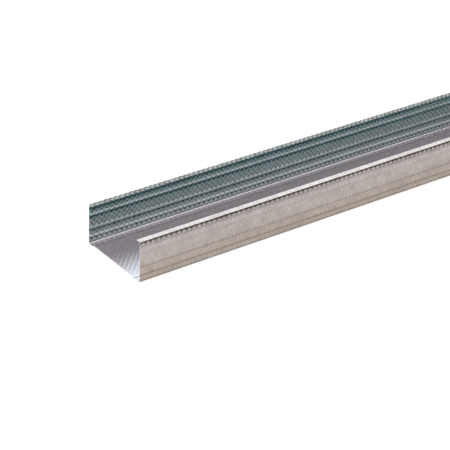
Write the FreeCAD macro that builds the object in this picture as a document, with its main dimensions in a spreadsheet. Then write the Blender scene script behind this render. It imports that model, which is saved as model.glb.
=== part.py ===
import FreeCAD, Part
import math
import os

import Sketcher

# Drywall metal stud: one strip of thin galvanised steel, roll-formed into a lipped channel.
# It lies on its web with the open side up. X runs along the stud, Y across the web and Z up.
# The origin is the middle of the underside. All sizes are in millimetres.

SIZES = (
    ("stud_length", 2600.0, "cut length"),
    ("web_width", 100.0, "across the crests of the beads on the two flanges"),
    ("flange_height", 50.0, "from the underside to the top of the lips"),
    ("sheet_thickness", 0.6, "steel strip before the relief is rolled in"),
    ("bend_radius", 1.6, "inside the bends between web and flanges"),
    ("lip_reach", 6.5, "from a flange's outer face to the end of its lip"),
    ("lip_bend_radius", 1.0, "inside the bends between flanges and lips"),
    ("bead_depth", 0.5, "how far a flange's long beads stand out from its flat strips"),
    ("bead_radius", 6.2, "of a bead's three arcs, at the middle of the sheet"),
    ("bead_to_web", 2.0, "flat strip between a flange's lower bend and its lowest bead"),
    ("bead_to_lip", 0.2, "flat strip between a flange's highest bead and the lip's bend"),
    ("bead_gap", 3.2, "flat strip between the two beads of a pair"),
    ("web_rise", 1.5, "how far the web's middle field stands above its edge strips"),
    ("step_radius", 2.5, "of the two arcs of the web's step, at the middle of the sheet"),
    ("step_inset", 10.0, "from a flange's outer face to the middle of the step"),
)

BEADS_EACH_SIDE = 2


def make_sheet(doc):
    """The driving dimensions, one named cell each."""
    sheet = doc.addObject("Spreadsheet::Sheet", "Sizes")
    for row, (name, value, meaning) in enumerate(SIZES, start=1):
        sheet.set(f"A{row}", meaning)
        sheet.set(f"B{row}", str(value))
        sheet.setAlias(f"B{row}", name)
    doc.recompute()
    return sheet


def origin_plane(body, role):
    """One of the body's own three planes."""
    return next(feature for feature in body.Origin.OriginFeatures if feature.Role == role)


# A face line is the section's outer or inner line, walked from the middle of the web to the end
# of the lip. It is a list of steps: each holds the formulas of a corner's place across and up,
# and the formula of the radius of the arc that leads on to the next corner. A left turn has a
# positive radius and a right turn a negative one, and a straight run has none.
# A skin is the formula of the distance from the middle of the sheet out to that face.

OUTER_SKIN = "(Sizes.sheet_thickness / 2)"
INNER_SKIN = "(-Sizes.sheet_thickness / 2)"

HALF_SHEET = "Sizes.sheet_thickness / 2"
FLANGE_FACE = "(Sizes.web_width / 2 - Sizes.bead_depth)"
FLANGE_MIDDLE = f"({FLANGE_FACE} - {HALF_SHEET})"
BEND_OUTSIDE = "(Sizes.bend_radius + Sizes.sheet_thickness)"
LIP_BEND_OUTSIDE = "(Sizes.lip_bend_radius + Sizes.sheet_thickness)"

STEP_COSINE = "(1 - Sizes.web_rise / (2 * Sizes.step_radius))"
STEP_SINE = f"sqrt(1 - {STEP_COSINE} ^ 2)"
STEP_MIDDLE = f"({FLANGE_FACE} - Sizes.step_inset)"

BEAD_COSINE = "(1 - Sizes.bead_depth / (2 * Sizes.bead_radius))"
BEAD_SINE = f"sqrt(1 - {BEAD_COSINE} ^ 2)"
BEAD_QUARTER = f"(Sizes.bead_radius * {BEAD_SINE})"


def web_line(skin):
    """Raised middle field, the step down and the edge strip that the stud lies on."""
    field_height = f"Sizes.web_rise + {HALF_SHEET} - {skin}"
    strip_height = f"{HALF_SHEET} - {skin}"
    step_reach = f"Sizes.step_radius * {STEP_SINE}"
    turning_across = f"{STEP_MIDDLE} - {skin} * {STEP_SINE}"
    turning_height = f"Sizes.web_rise / 2 + {HALF_SHEET} - {skin} * {STEP_COSINE}"
    return [
        ("0", field_height, None),
        (f"{STEP_MIDDLE} - {step_reach}", field_height, f"-(Sizes.step_radius - {skin})"),
        (turning_across, turning_height, f"Sizes.step_radius + {skin}"),
        (f"{STEP_MIDDLE} + {step_reach}", strip_height, None),
        (f"{FLANGE_FACE} - {BEND_OUTSIDE}", strip_height,
         f"Sizes.bend_radius + {HALF_SHEET} + {skin}"),
    ]


def bead_line(skin, height):
    """One long bead in a flange: three arcs that swell out by the bead's depth and come back."""
    face = f"{FLANGE_MIDDLE} + {skin}"
    turning_across = f"{FLANGE_MIDDLE} + Sizes.bead_depth / 2 + {skin} * {BEAD_COSINE}"
    return [
        (face, f"{height} - 2 * {BEAD_QUARTER}", f"-(Sizes.bead_radius - {skin})"),
        (turning_across, f"{height} - {BEAD_QUARTER} - {skin} * {BEAD_SINE}",
         f"Sizes.bead_radius + {skin}"),
        (turning_across, f"{height} + {BEAD_QUARTER} + {skin} * {BEAD_SINE}",
         f"-(Sizes.bead_radius - {skin})"),
        (face, f"{height} + 2 * {BEAD_QUARTER}", None),
    ]


def lip_line(skin):
    """Bend at the top of the flange and the lip that turns in over the channel."""
    lip_height = f"Sizes.flange_height - {HALF_SHEET} + {skin}"
    return [
        (f"{FLANGE_MIDDLE} + {skin}", f"Sizes.flange_height - {LIP_BEND_OUTSIDE}",
         f"Sizes.lip_bend_radius + {HALF_SHEET} + {skin}"),
        (f"{FLANGE_FACE} - {LIP_BEND_OUTSIDE}", lip_height, None),
        (f"{FLANGE_FACE} - Sizes.lip_reach", lip_height, None),
    ]


def bead_heights(sketch):
    """Middles of the beads, from the web up: pairs counted in from both bends while they fit."""
    lower = []
    upper = []
    below = f"({BEND_OUTSIDE} + Sizes.bead_to_web + 2 * {BEAD_QUARTER})"
    above = f"(Sizes.flange_height - {LIP_BEND_OUTSIDE} - Sizes.bead_to_lip - 2 * {BEAD_QUARTER})"
    for _ in range(BEADS_EACH_SIDE):
        room_left = f"{above} - {below} - 4 * {BEAD_QUARTER}"
        if sketch.evalExpression(room_left) <= 0:
            break
        lower.append(below)
        upper.insert(0, above)
        below = f"({below} + 4 * {BEAD_QUARTER} + Sizes.bead_gap)"
        above = f"({above} - 4 * {BEAD_QUARTER} - Sizes.bead_gap)"
    return lower + upper


def face_line(skin, heights):
    """A whole outer or inner line of the half section."""
    line = web_line(skin)
    line.append((f"{FLANGE_MIDDLE} + {skin}", BEND_OUTSIDE, None))
    for height in heights:
        line += bead_line(skin, height)
    return line + lip_line(skin)


def closed_outline(heights):
    """The outer line out to the lip's end, and the inner line back to the middle of the web."""
    outer = face_line(OUTER_SKIN, heights)
    inner = face_line(INNER_SKIN, heights)
    outline = list(outer)
    for number in range(len(inner) - 1, -1, -1):
        across, height, _ = inner[number]
        radius = inner[number - 1][2] if number > 0 else None
        outline.append((across, height, f"-({radius})" if radius else None))
    return outline


def arc_between(start, end, radius):
    """The short arc between two points. Its middle is to the left for a positive radius."""
    chord = end - start
    rise = math.sqrt(radius ** 2 - (chord.Length / 2) ** 2)
    left = FreeCAD.Vector(-chord.y, chord.x, 0).normalize()
    middle = (start + end) * 0.5 + left * math.copysign(rise, radius)
    circle = Part.Circle(middle, FreeCAD.Vector(0, 0, 1), abs(radius))
    first, last = (start, end) if radius > 0 else (end, start)
    return Part.ArcOfCircle(circle, circle.parameter(first), circle.parameter(last))


def draw_outline(sketch, outline):
    """Draws the closed outline and binds each corner and each radius to its formula."""
    corners = [
        FreeCAD.Vector(float(sketch.evalExpression(across)), float(sketch.evalExpression(height)), 0)
        for across, height, _ in outline
    ]
    start_point, end_point = 1, 2
    starts = []
    ends = []
    for number, (across, height, radius) in enumerate(outline):
        start = corners[number]
        end = corners[(number + 1) % len(corners)]
        turn = float(sketch.evalExpression(radius)) if radius else 0
        if turn:
            edge = sketch.addGeometry(arc_between(start, end, turn), False)
        else:
            edge = sketch.addGeometry(Part.LineSegment(start, end), False)
        starts.append((edge, end_point if turn < 0 else start_point))
        ends.append((edge, start_point if turn < 0 else end_point))
    for number, end in enumerate(ends):
        follower = starts[(number + 1) % len(starts)]
        sketch.addConstraint(Sketcher.Constraint("Coincident", *end, *follower))
    for number, (across, height, radius) in enumerate(outline):
        corner = corners[number]
        bind(sketch, ("DistanceX", *starts[number], corner.x), across)
        bind(sketch, ("DistanceY", *starts[number], corner.y), height)
        if radius:
            turn = float(sketch.evalExpression(radius))
            bind(sketch, ("Radius", starts[number][0], abs(turn)), f"abs({radius})")


def bind(sketch, values, formula):
    """Adds one dimension to the sketch and ties it to its formula."""
    number = sketch.addConstraint(Sketcher.Constraint(*values))
    sketch.setExpression(f"Constraints[{number}]", formula)


def make_stud(doc):
    """Half of the section, drawn out to the cut length and mirrored over the web's middle."""
    body = doc.addObject("PartDesign::Body", "Stud")
    body.Label = "stud"

    section = body.newObject("Sketcher::SketchObject", "HalfSection")
    section.AttachmentSupport = [(origin_plane(body, "YZ_Plane"), "")]
    section.MapMode = "FlatFace"
    doc.recompute()
    draw_outline(section, closed_outline(bead_heights(section)))
    doc.recompute()

    rolled_half = body.newObject("PartDesign::Pad", "RolledHalf")
    rolled_half.Profile = section
    rolled_half.SideType = "Symmetric"
    rolled_half.setExpression("Length", "Sizes.stud_length")

    other_half = body.newObject("PartDesign::Mirrored", "OtherHalf")
    other_half.Originals = [rolled_half]
    other_half.MirrorPlane = (origin_plane(body, "XZ_Plane"), [""])
    body.Tip = other_half
    doc.recompute()
    return body


def check(doc, parts):
    """Stops before anything is written if a feature failed or a shape is broken."""
    for item in doc.Objects:
        if "Invalid" in item.State or "Error" in item.State:
            raise RuntimeError(f"{item.Name} did not build: {item.State}")
    for part in parts:
        if part.Shape.isNull() or not part.Shape.isValid():
            raise RuntimeError(f"{part.Label} has no valid shape")


document = FreeCAD.newDocument("DrywallStud")
make_sheet(document)
pieces = [make_stud(document)]
document.recompute()
check(document, pieces)

os.makedirs("parts", exist_ok=True)
for piece in pieces:
    piece.Shape.exportStep(f"parts/{piece.Label}.step")
    box = piece.Shape.BoundBox
    print(piece.Label, "solids", len(piece.Shape.Solids), "faces", len(piece.Shape.Faces),
          "volume", round(piece.Shape.Volume, 1),
          "box", [round(value, 3) for value in (box.XMin, box.YMin, box.ZMin, box.XMax, box.YMax, box.ZMax)])
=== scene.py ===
import math

import bpy
import numpy as np
from mathutils import Matrix, Vector


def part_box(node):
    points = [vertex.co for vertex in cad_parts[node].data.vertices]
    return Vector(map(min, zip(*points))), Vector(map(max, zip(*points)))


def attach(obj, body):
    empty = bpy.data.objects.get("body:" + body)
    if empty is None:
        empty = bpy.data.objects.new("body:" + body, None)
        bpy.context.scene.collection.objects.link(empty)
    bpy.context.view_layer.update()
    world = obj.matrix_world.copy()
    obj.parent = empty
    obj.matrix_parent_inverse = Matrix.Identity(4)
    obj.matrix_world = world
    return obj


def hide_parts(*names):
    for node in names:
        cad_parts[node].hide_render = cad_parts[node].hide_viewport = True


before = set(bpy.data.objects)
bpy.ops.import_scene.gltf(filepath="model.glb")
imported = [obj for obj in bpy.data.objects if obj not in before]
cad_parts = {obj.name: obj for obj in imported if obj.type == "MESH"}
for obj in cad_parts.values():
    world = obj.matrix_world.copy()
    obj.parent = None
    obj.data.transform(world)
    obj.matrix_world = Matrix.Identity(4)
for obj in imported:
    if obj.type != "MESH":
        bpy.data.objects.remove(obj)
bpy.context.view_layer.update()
stud_low, stud_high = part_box("stud")


# Rolled sheet.
# The stud is one strip of galvanised steel, roll-formed and sheared to length. The middle line of
# its section is drawn, pulled out along the stud, pressed with the relief and thickened.
MM = 0.001
SHEET = 0.6 * MM
BEND_RADIUS = 1.6 * MM
LIP_REACH = 6.5 * MM
LIP_BEND_RADIUS = 1.0 * MM
BEAD_DEPTH = 0.5 * MM
BEAD_RADIUS = 6.2 * MM
BEAD_TO_WEB = 2.0 * MM
BEAD_TO_LIP = 0.2 * MM
BEAD_GAP = 3.2 * MM
WEB_RISE = 1.5 * MM
STEP_RADIUS = 2.5 * MM
STEP_INSET = 10.0 * MM

# The relief is in the mesh for as much of the stud as the photograph shows and a little more, and
# fades out there. The long plain runs beyond it have the same relief as bump.
RELIEF_PITCH = 6.65 * MM
RELIEF_HEIGHT = 0.2 * MM
RELIEF_AT_BENDS = 0.3
RELIEF_ON_LIPS = 0.5
LOST_IN_MESH = 0.4
FLAT_STEP = RELIEF_PITCH / 4
ARC_STEP = 1.05 * MM
DETAILED_LENGTH = 74 * RELIEF_PITCH
FADE_LENGTH = 4 * RELIEF_PITCH
PLAIN_RUNS = 3
END_TOLERANCE = 0.1 * MM
SMOOTH_BELOW = math.radians(40)

flange_face = stud_high.y - BEAD_DEPTH
bend_outside = BEND_RADIUS + SHEET
lip_bend_outside = LIP_BEND_RADIUS + SHEET
step_angle = math.acos(1 - WEB_RISE / (2 * STEP_RADIUS))
step_half = STEP_RADIUS * math.sin(step_angle)
bead_angle = math.acos(1 - BEAD_DEPTH / (2 * BEAD_RADIUS))
bead_width = 4 * BEAD_RADIUS * math.sin(bead_angle)
pair_width = 2 * bead_width + BEAD_GAP
above_web = stud_high.z - bend_outside - BEAD_TO_WEB
middle_strip = above_web - 2 * pair_width - BEAD_TO_LIP - lip_bend_outside

# Each run of the half section is its length, or its angle, then its radius and its share of the
# relief. A left turn is positive.
bead_runs = [
    (-bead_angle, BEAD_RADIUS, 1.0),
    (2 * bead_angle, BEAD_RADIUS, 1.0),
    (-bead_angle, BEAD_RADIUS, 1.0),
]
bead_pair = [*bead_runs, (BEAD_GAP, None, 1.0), *bead_runs]
half_section = [
    (flange_face - STEP_INSET - step_half, None, 1.0),
    (-step_angle, STEP_RADIUS, 1.0),
    (step_angle, STEP_RADIUS, 1.0),
    (STEP_INSET - step_half - bend_outside, None, 1.0),
    (math.pi / 2, BEND_RADIUS + SHEET / 2, RELIEF_AT_BENDS),
    (BEAD_TO_WEB, None, 1.0),
    *bead_pair,
    (middle_strip, None, 1.0),
    *bead_pair,
    (BEAD_TO_LIP, None, 1.0),
    (math.pi / 2, LIP_BEND_RADIUS + SHEET / 2, 1.0),
    (LIP_REACH - lip_bend_outside, None, RELIEF_ON_LIPS),
]


def walk_section(runs):
    """Places along the half section: distance from the web's middle, across, up, heading, relief."""
    distance = 0.0
    across = 0.0
    height = stud_low.z + WEB_RISE + SHEET / 2
    heading = 0.0
    places = [(distance, across, height, heading, 1.0)]
    for size, radius, relief in runs:
        length = abs(size) * radius if radius else size
        steps = max(1, round(length / (ARC_STEP if radius else FLAT_STEP)))
        for _ in range(steps):
            turn = size / steps if radius else 0.0
            chord = 2 * radius * math.sin(abs(turn) / 2) if radius else length / steps
            across += chord * math.cos(heading + turn / 2)
            height += chord * math.sin(heading + turn / 2)
            heading += turn
            distance += length / steps
            places.append((distance, across, height, heading, relief))
    return places


right_half = walk_section(half_section)
left_half = [(-s, -y, z, -angle, relief) for s, y, z, angle, relief in right_half[:0:-1]]
section = left_half + right_half

bpy.ops.object.select_all(action="DESELECT")
bpy.ops.mesh.primitive_plane_add(size=RELIEF_PITCH)
sheet = bpy.context.object
sheet.name = "rolled_sheet"
bpy.ops.object.mode_set(mode="EDIT")
bpy.ops.mesh.select_all(action="SELECT")
bpy.ops.mesh.merge(type="CENTER")
first = Vector((stud_low.x, section[0][1], section[0][2]))
bpy.ops.transform.translate(value=first)
for (_, y0, z0, _, _), (_, y1, z1, _, _) in zip(section, section[1:]):
    bpy.ops.mesh.extrude_region_move(TRANSFORM_OT_translate={"value": (0, y1 - y0, z1 - z0)})
bpy.ops.object.mode_set(mode="OBJECT")


def read_points(mesh):
    """All vertex places of a mesh, one row each."""
    flat = np.empty(3 * len(mesh.vertices))
    mesh.vertices.foreach_get("co", flat)
    return flat.reshape(-1, 3)


def read_values(mesh, name):
    """One number for each vertex, kept on the mesh under a name."""
    values = np.empty(len(mesh.vertices))
    mesh.attributes[name].data.foreach_get("value", values)
    return values


# The drawn vertices keep where they lie over the strip, their heading and their share of relief.
section_places = np.array([(y, z) for _, y, z, _, _ in section])
drawn_places = read_points(sheet.data)[:, 1:]
squared_gaps = ((drawn_places[:, None] - section_places[None]) ** 2).sum(axis=2)
nearest = squared_gaps.argmin(axis=1)
for name, column in (("strip", 0), ("heading", 3), ("relief", 4)):
    values = np.array([section[number][column] for number in nearest])
    sheet.data.attributes.new(name, "FLOAT", "POINT").data.foreach_set("value", values)

pull = sheet.modifiers.new("pull", "SCREW")
pull.axis = "X"
pull.angle = 0
pull.screw_offset = DETAILED_LENGTH
pull.steps = pull.render_steps = round(DETAILED_LENGTH / FLAT_STEP)
pull.use_merge_vertices = False
bpy.ops.object.modifier_apply(modifier=pull.name)

plain_length = (stud_high.x - stud_low.x - DETAILED_LENGTH) / PLAIN_RUNS
for _ in range(PLAIN_RUNS):
    end = float(read_points(sheet.data)[:, 0].max())
    bpy.ops.object.mode_set(mode="EDIT")
    bpy.ops.mesh.select_mode(type="VERT")
    bpy.ops.mesh.select_all(action="DESELECT")
    bpy.ops.object.mode_set(mode="OBJECT")
    for vertex in sheet.data.vertices:
        vertex.select = vertex.co.x > end - END_TOLERANCE
    bpy.ops.object.mode_set(mode="EDIT")
    bpy.ops.mesh.extrude_region_move(TRANSFORM_OT_translate={"value": (plain_length, 0, 0)})
    bpy.ops.object.mode_set(mode="OBJECT")

places = read_points(sheet.data)
strip = read_values(sheet.data, "strip")
heading = read_values(sheet.data, "heading")
relief = read_values(sheet.data, "relief") * RELIEF_HEIGHT
along = places[:, 0] - stud_low.x
fade = np.clip((DETAILED_LENGTH - along) / FADE_LENGTH, 0, 1)
lattice = np.cos(math.tau * along / RELIEF_PITCH) * np.cos(math.tau * strip / RELIEF_PITCH)
pressed_out = relief * fade * lattice
places[:, 1] += pressed_out * np.sin(heading)
places[:, 2] -= pressed_out * np.cos(heading)
sheet.data.vertices.foreach_set("co", places.ravel())
sheet.data.update()


class Shade:
    """One socket in a node tree, with arithmetic that adds Math nodes."""

    def __init__(self, tree, socket):
        self.tree = tree
        self.socket = socket

    def math(self, operation, *others):
        return add_node(self.tree, "Math", {"operation": operation}, (self, *others))

    def __add__(self, other):
        return self.math("ADD", other)

    def __sub__(self, other):
        return self.math("SUBTRACT", other)

    def __rsub__(self, other):
        return (self * -1.0) + other

    def __mul__(self, other):
        return self.math("MULTIPLY", other)

    __radd__ = __add__
    __rmul__ = __mul__

    def ramp(self, low, high):
        """0 below low, 1 above high and a smooth rise between them."""
        values = {"Value": self, "From Min": low, "From Max": high}
        return add_node(self.tree, "MapRange", {"interpolation_type": "SMOOTHSTEP"}, values)

    def mix(self, first, second):
        """From the first colour to the second as this goes from 0 to 1."""
        values = {0: self, 6: first, 7: second}
        return add_node(self.tree, "Mix", {"data_type": "RGBA"}, values, output=2)


def add_node(tree, kind, settings, values, output=0):
    """Any node: its type, its settings, the values or links of its sockets, and the output used."""
    node = tree.nodes.new("ShaderNode" + kind)
    for name, setting in settings.items():
        setattr(node, name, setting)
    pairs = values.items() if isinstance(values, dict) else enumerate(values)
    for key, value in pairs:
        if isinstance(value, Shade):
            tree.links.new(value.socket, node.inputs[key])
        else:
            node.inputs[key].default_value = value
    return Shade(tree, node.outputs[output])


def new_finish(name, values):
    """A material, its node tree and its shader, with the values that hold all over it."""
    material = bpy.data.materials.new(name)
    material.use_nodes = True
    shader = material.node_tree.nodes["Principled BSDF"]
    for socket, value in values.items():
        shader.inputs[socket].default_value = value
    return material, material.node_tree, shader


def feed(tree, shader, links):
    """Links the sockets that vary over the surface."""
    for socket, shade in links.items():
        tree.links.new(shade.socket, shader.inputs[socket])


def read_attribute(tree, name):
    """A number kept on the sheet's vertices."""
    return add_node(tree, "Attribute", {"attribute_name": name}, {}, output="Fac")


def follow_strip(tree):
    """Place, distances along the stud and over the strip, and the relief's waves."""
    place = add_node(tree, "TexCoord", {}, {}, output="Object")
    along_stud = add_node(tree, "SeparateXYZ", {}, (place,), output="X") - stud_low.x
    over_strip = read_attribute(tree, "strip")
    along_wave = (along_stud * (math.tau / RELIEF_PITCH)).math("COSINE")
    waves = along_wave * (over_strip * (math.tau / RELIEF_PITCH)).math("COSINE")
    return place, along_stud, over_strip, along_wave, waves


def press_relief(tree, along_stud, waves, side):
    """Bump for what the mesh leaves out of the relief: a share of it, and beyond its end all.
    Side is 1 on the outer skin and -1 on the inner one, where the same crests are hollows."""
    not_in_mesh = (along_stud - (DETAILED_LENGTH - FADE_LENGTH)).ramp(0.0, FADE_LENGTH)
    share = not_in_mesh * (1 - LOST_IN_MESH) + LOST_IN_MESH
    height = waves * share * (side * RELIEF_HEIGHT)
    return add_node(tree, "Bump", {}, {"Strength": 1.0, "Distance": 1.0, "Height": height})


# Distances over the strip, from the web's middle to the two bends and to the lip's end.
UPRIGHT = math.pi / 2 - 0.001
bend_length = math.pi / 2 * (BEND_RADIUS + SHEET / 2)
bend_end = next(s for s, _, _, angle, _ in right_half if angle > UPRIGHT)
bend_middle = bend_end - bend_length / 2
strip_end = right_half[-1][0]
lip_bend_end = strip_end - (LIP_REACH - lip_bend_outside)
lip_bend_start = lip_bend_end - math.pi / 2 * (LIP_BEND_RADIUS + SHEET / 2)
flange_length = lip_bend_start - bend_end

# The outer zinc has faint streaks across the rolling direction. Painted shade darkens the beads' upper
# halves, the highest bead's crest, the bends, the far lip and the flanges towards the bottom, a
# painted dark toothed shadow line runs below each lip, and the relief's crests get a faint painted
# highlight.
OUTER_ROUGHNESS = 0.3
OUTER_SPECULAR_TINT = (0.5, 0.5, 0.5, 1)
# The dark end of the outer zinc: its own darker tone and all painted shade.
OUTER_DARK_TONE_AND_SHADE = (0.05, 0.04, 0.035, 1)
OUTER_LOW_SHADED = (0.53, 0.455, 0.395, 1)
OUTER_HIGH = (0.57, 0.515, 0.49, 1)
OUTER_FAR_LIP_SHADED = (0.51, 0.535, 0.52, 1)
OUTER_SHINE = 0.745
BEND_SHADE = 0.27
LINE_SHADOW = 0.6
TOOTH_SHADOW = 0.4
TOP_BEAD_SHADE = 0.2
LIP_LOSS = 0.14
FAR_LIP_SHADE = 0.39
CLOUD_SCALE = 90.0
STREAK_SCALE = 900.0
STREAK_STRETCH = 0.12

outer_values = {"Metallic": 1.0, "Roughness": OUTER_ROUGHNESS, "Specular Tint": OUTER_SPECULAR_TINT}
outer_skin, tree, shader = new_finish("outer_zinc", outer_values)
place, along_stud, over_strip, along_wave, waves = follow_strip(tree)
from_middle = over_strip.math("ABSOLUTE")
from_web_axis = add_node(tree, "SeparateXYZ", {}, (place,), output="Y").math("ABSOLUTE")
lean = read_attribute(tree, "heading").math("COSINE")
low_down = 1 - from_middle.ramp(bend_end, bend_end + 0.8 * flange_length)
above_bend = from_middle.ramp(bend_end, bend_end + 1.2 * MM)
# Painted shade along the lower bend.
shaded_bend = from_middle.ramp(bend_middle - 2 * MM, bend_middle) * (1 - above_bend)
below_lip = 1 - from_middle.ramp(lip_bend_start - 2 * MM, lip_bend_start)
# Painted shade on the beads' upper halves, stronger low down.
stands_out = from_web_axis.ramp(flange_face - 0.2 * MM, flange_face + BEAD_DEPTH)
leans_in = 1 - lean.ramp(-0.18, 0.06)
shaded_bead_half = stands_out * leans_in * below_lip
# A painted dark toothed shadow line below each lip.
below_lip_top = 1 - from_middle.ramp(lip_bend_start + 0.7 * MM, lip_bend_start + 1.3 * MM)
shadow_line = from_middle.ramp(lip_bend_start - 1.4 * MM, lip_bend_start - 0.6 * MM) * below_lip_top
near_line = from_middle.ramp(lip_bend_start - 4 * MM, lip_bend_start - 2.2 * MM) * below_lip_top
shadow_tooth = near_line * along_wave.ramp(-0.3, 1.0)
# Painted shade on the highest bead's crest.
below_line = 1 - from_middle.ramp(lip_bend_start - 3.8 * MM, lip_bend_start - 2.6 * MM)
shaded_top_bead = from_middle.ramp(lip_bend_start - 6.5 * MM, lip_bend_start - 4.7 * MM) * below_line
on_lip = from_middle.ramp(lip_bend_end - 1 * MM, lip_bend_end)
# Painted shade on the far lip, broken into spots by the relief's waves; its colour is a shaded copy of
# the zinc.
shaded_far_lip = over_strip.ramp(lip_bend_end - 1 * MM, lip_bend_end)
cloud = add_node(tree, "TexNoise", {}, {"Vector": place, "Scale": CLOUD_SCALE, "Detail": 4.0})
drawn_out = add_node(tree, "CombineXYZ", {}, {"X": along_stud, "Y": over_strip * STREAK_STRETCH})
streaks = add_node(tree, "TexNoise", {}, {"Vector": drawn_out, "Scale": STREAK_SCALE, "Detail": 2.0})
# The cloud and streaks are the zinc's own tone; the relief's waves add a faint painted highlight on
# its crests.
tone_and_painted_light = OUTER_SHINE + (cloud - 0.5) * 0.4 + (streaks - 0.5) * 0.6 + waves * 0.04
tone_and_painted_light = tone_and_painted_light - shaded_bead_half * (low_down * 0.22 + 0.14) * (cloud * 1.6 + 0.2) - shaded_bend * BEND_SHADE
tone_and_painted_light = tone_and_painted_light - shadow_line * LINE_SHADOW - shadow_tooth * TOOTH_SHADOW - shaded_top_bead * TOP_BEAD_SHADE
tone_and_painted_light = tone_and_painted_light - on_lip * LIP_LOSS - shaded_far_lip * (waves * 0.3 + FAR_LIP_SHADE)
# Painted shade: the flanges' colour turns darker and warmer towards the bottom, and the far lip takes
# a shaded copy.
bright = shaded_far_lip.mix(low_down.mix(OUTER_HIGH, OUTER_LOW_SHADED), OUTER_FAR_LIP_SHADED)
bumps = press_relief(tree, along_stud, waves, 1)
feed(tree, shader, {"Base Color": tone_and_painted_light.mix(OUTER_DARK_TONE_AND_SHADE, bright), "Normal": bumps})

# The inner zinc is smoother. It is greenish on the flanges and mauve on the web, with a painted glare
# of lighter grey on the web towards the near flange. On the flanges the beads' upward-facing halves
# get painted shade and their downward-facing halves painted highlights, the relief paints rows of
# bright and dull spots, and the top and bottom are painted darker.
FLANGE_METALLIC = 0.98
FLANGE_ROUGHNESS = 0.05
# The flanges' dark end holds their darker tone and all painted shade.
FLANGE_DARK_TONE_AND_SHADE = (0.14, 0.16, 0.16, 1)
FLANGE_BRIGHT = (0.48, 0.71, 0.68, 1)
FLANGE_SHINE = 0.54
WEB_METALLIC = 0.85
WEB_ROUGHNESS = 0.32
WEB_NEAR_GLARE = (0.43, 0.44, 0.455, 1)
WEB_FAR = (0.39, 0.295, 0.325, 1)

inner_skin, tree, shader = new_finish("inner_zinc", {})
place, along_stud, over_strip, along_wave, waves = follow_strip(tree)
from_middle = over_strip.math("ABSOLUTE")
lean = read_attribute(tree, "heading").math("COSINE")
on_flange = from_middle.ramp(bend_middle - 2 * MM, bend_middle + 2 * MM)
# Painted glare: the web turns a lighter grey towards the near flange.
near_glare_side = 1 - over_strip.ramp(-48 * MM, 30 * MM)
low_down = 1 - from_middle.ramp(bend_end + 12 * MM, bend_end + 18 * MM)
high_up = from_middle.ramp(bend_end + 10 * MM, bend_end + 20 * MM)
# Painted shade on the beads' upward-facing halves, painted highlights on their downward-facing halves.
faces_up = lean.ramp(-0.04, 0.26)
faces_down = 1 - lean.ramp(-0.26, 0.04)
cloud = add_node(tree, "TexNoise", {}, {"Vector": place, "Scale": CLOUD_SCALE, "Detail": 3.0})
# Beside the cloud's tone, the relief's waves paint bright and dull spots, and the flanges are painted
# darker near the top and the bottom.
tone_and_painted_light = FLANGE_SHINE + (cloud - 0.5) * 0.3 + waves * (high_up * 0.08 + 0.16) - faces_up * 0.24
tone_and_painted_light = tone_and_painted_light + faces_down * (low_down * 0.3 - along_wave * 0.24 + 0.35)
tone_and_painted_light = tone_and_painted_light - high_up * 0.15 - low_down * 0.1
colour = on_flange.mix(near_glare_side.mix(WEB_FAR, WEB_NEAR_GLARE), tone_and_painted_light.mix(FLANGE_DARK_TONE_AND_SHADE, FLANGE_BRIGHT))
metallic = on_flange * (FLANGE_METALLIC - WEB_METALLIC) + WEB_METALLIC
roughness = WEB_ROUGHNESS - on_flange * (WEB_ROUGHNESS - FLANGE_ROUGHNESS)
bumps = press_relief(tree, along_stud, waves, -1)
inner_links = {"Base Color": colour, "Metallic": metallic, "Roughness": roughness, "Normal": bumps}
feed(tree, shader, inner_links)

# The sheared edges are bare, grainy steel.
EDGE_ROUGHNESS = 0.4
EDGE_DULL = (0.60, 0.60, 0.60, 1)
EDGE_BRIGHT = (0.78, 0.78, 0.77, 1)
GRAIN_SCALE = 900.0

sheared_edge, tree, shader = new_finish("sheared_edge", {"Metallic": 0.8, "Roughness": EDGE_ROUGHNESS})
place = add_node(tree, "TexCoord", {}, {}, output="Object")
grain = add_node(tree, "TexNoise", {}, {"Vector": place, "Scale": GRAIN_SCALE, "Detail": 2.0})
feed(tree, shader, {"Base Color": grain.mix(EDGE_DULL, EDGE_BRIGHT)})

for finish in (outer_skin, inner_skin, sheared_edge):
    sheet.data.materials.append(finish)

# The skins are told apart by the faces' normals, which point down from the web.
bpy.ops.object.mode_set(mode="EDIT")
bpy.ops.mesh.select_all(action="SELECT")
bpy.ops.mesh.normals_make_consistent(inside=False)
bpy.ops.object.mode_set(mode="OBJECT")
web_face = min(sheet.data.polygons, key=lambda face: abs(face.center.y))
if web_face.normal.z > 0:
    sheet.data.flip_normals()
thicken = sheet.modifiers.new("thicken", "SOLIDIFY")
thicken.thickness = SHEET
thicken.offset = 0
thicken.use_even_offset = True
thicken.material_offset = 1
thicken.material_offset_rim = 2
bpy.ops.object.modifier_apply(modifier=thicken.name)
sheared = np.clip(read_points(sheet.data), stud_low, stud_high)
sheet.data.vertices.foreach_set("co", sheared.ravel())
sheet.data.update()
bpy.ops.object.shade_smooth_by_angle(angle=SMOOTH_BELOW)

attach(sheet, "root")
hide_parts("stud")


# Studio.
# A plain white floor under the stud, and a soft light tent over it: bright behind the stud and
# brightest overhead. In front it is white low down, then open where the camera stands.
FLOOR_SIZE = 60.0
FLOOR_GLOW = 0.75
LOW_LIGHT = 1.0
OPEN_LIGHT = 0.15
FRONT_LIGHT = 0.75
TOP_LIGHT = 3.2
BACK_LIGHT = 2.7
BACK_TOP_LIGHT = 1.5
FRONT_TINT = (1.0, 0.985, 0.98, 1)
BACK_TINT = (0.94, 1.0, 1.06, 1)

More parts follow.
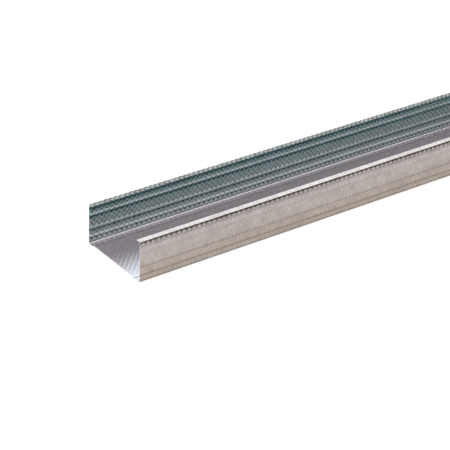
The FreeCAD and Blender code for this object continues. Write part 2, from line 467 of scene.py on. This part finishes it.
bpy.ops.mesh.primitive_plane_add(size=FLOOR_SIZE, location=(0, 0, stud_low.z))
floor = bpy.context.object
floor.name = "studio_floor"
floor_values = {
    "Base Color": (0.2, 0.2, 0.2, 1),
    "Metallic": 0.0,
    "Roughness": 0.9,
    "Specular IOR Level": 0.1,
    "Emission Color": (1, 1, 1, 1),
    "Emission Strength": FLOOR_GLOW,
}
floor_paint, tree, shader = new_finish("floor_paint", floor_values)
floor.data.materials.append(floor_paint)

world = bpy.data.worlds.new("studio_sky")
world.use_nodes = True
bpy.context.scene.world = world
tree = world.node_tree
direction = add_node(tree, "TexCoord", {}, {}, output="Generated")
sideways = add_node(tree, "SeparateXYZ", {}, (direction,), output="Y")
upward = add_node(tree, "SeparateXYZ", {}, (direction,), output="Z")
front = (1 - upward.ramp(0.10, 0.20)) * (LOW_LIGHT - OPEN_LIGHT) + OPEN_LIGHT
front = front + upward.ramp(0.34, 0.48) * (FRONT_LIGHT - OPEN_LIGHT)
front = front + upward.ramp(0.50, 0.70) * (TOP_LIGHT - FRONT_LIGHT)
behind = (1 - upward.ramp(0.68, 0.85)) * (BACK_LIGHT - BACK_TOP_LIGHT) + BACK_TOP_LIGHT
is_behind = sideways.ramp(-0.15, 0.25)
strength = front * (1 - is_behind) + behind * is_behind
colour = is_behind.mix(FRONT_TINT, BACK_TINT)
feed(tree, tree.nodes["Background"], {"Color": colour, "Strength": strength})

bpy.context.scene.view_settings.view_transform = "Standard"


# Camera.
# The photograph's viewing angle, found from the stud's own long edges and its 50 and 100 mm sides.
# It looks past the cut end along the open channel, from the left and from above.
CAMERA_AZIMUTH = math.radians(-38.003)
CAMERA_ELEVATION = math.radians(29.624)
CAMERA_ROLL = math.radians(2.688)
CAMERA_DISTANCE = 1.879297
IMAGE_PIXELS = 450
FOCAL_PIXELS = 1770.366
CORNER_PIXEL = (139.747, 283.231)
SENSOR_WIDTH = 36.0
CLIP_END = 100

back = Vector((
    math.sin(CAMERA_AZIMUTH) * math.cos(CAMERA_ELEVATION),
    -math.cos(CAMERA_AZIMUTH) * math.cos(CAMERA_ELEVATION),
    math.sin(CAMERA_ELEVATION),
))
level_right = Vector((0, 0, 1)).cross(back).normalized()
level_up = back.cross(level_right)
right = level_right * math.cos(CAMERA_ROLL) + level_up * math.sin(CAMERA_ROLL)
up = level_up * math.cos(CAMERA_ROLL) - level_right * math.sin(CAMERA_ROLL)
across_frame = (IMAGE_PIXELS / 2 - CORNER_PIXEL[0]) * CAMERA_DISTANCE / FOCAL_PIXELS
down_frame = (IMAGE_PIXELS / 2 - CORNER_PIXEL[1]) * CAMERA_DISTANCE / FOCAL_PIXELS
eye = stud_low + back * CAMERA_DISTANCE + right * across_frame - up * down_frame

bpy.ops.object.camera_add()
camera = bpy.context.object
camera.name = "studio_camera"
camera.data.sensor_width = SENSOR_WIDTH
camera.data.lens = FOCAL_PIXELS / IMAGE_PIXELS * SENSOR_WIDTH
camera.data.clip_end = CLIP_END
camera.matrix_world = Matrix.Translation(eye) @ Matrix((right, up, back)).transposed().to_4x4()
bpy.context.scene.camera = camera
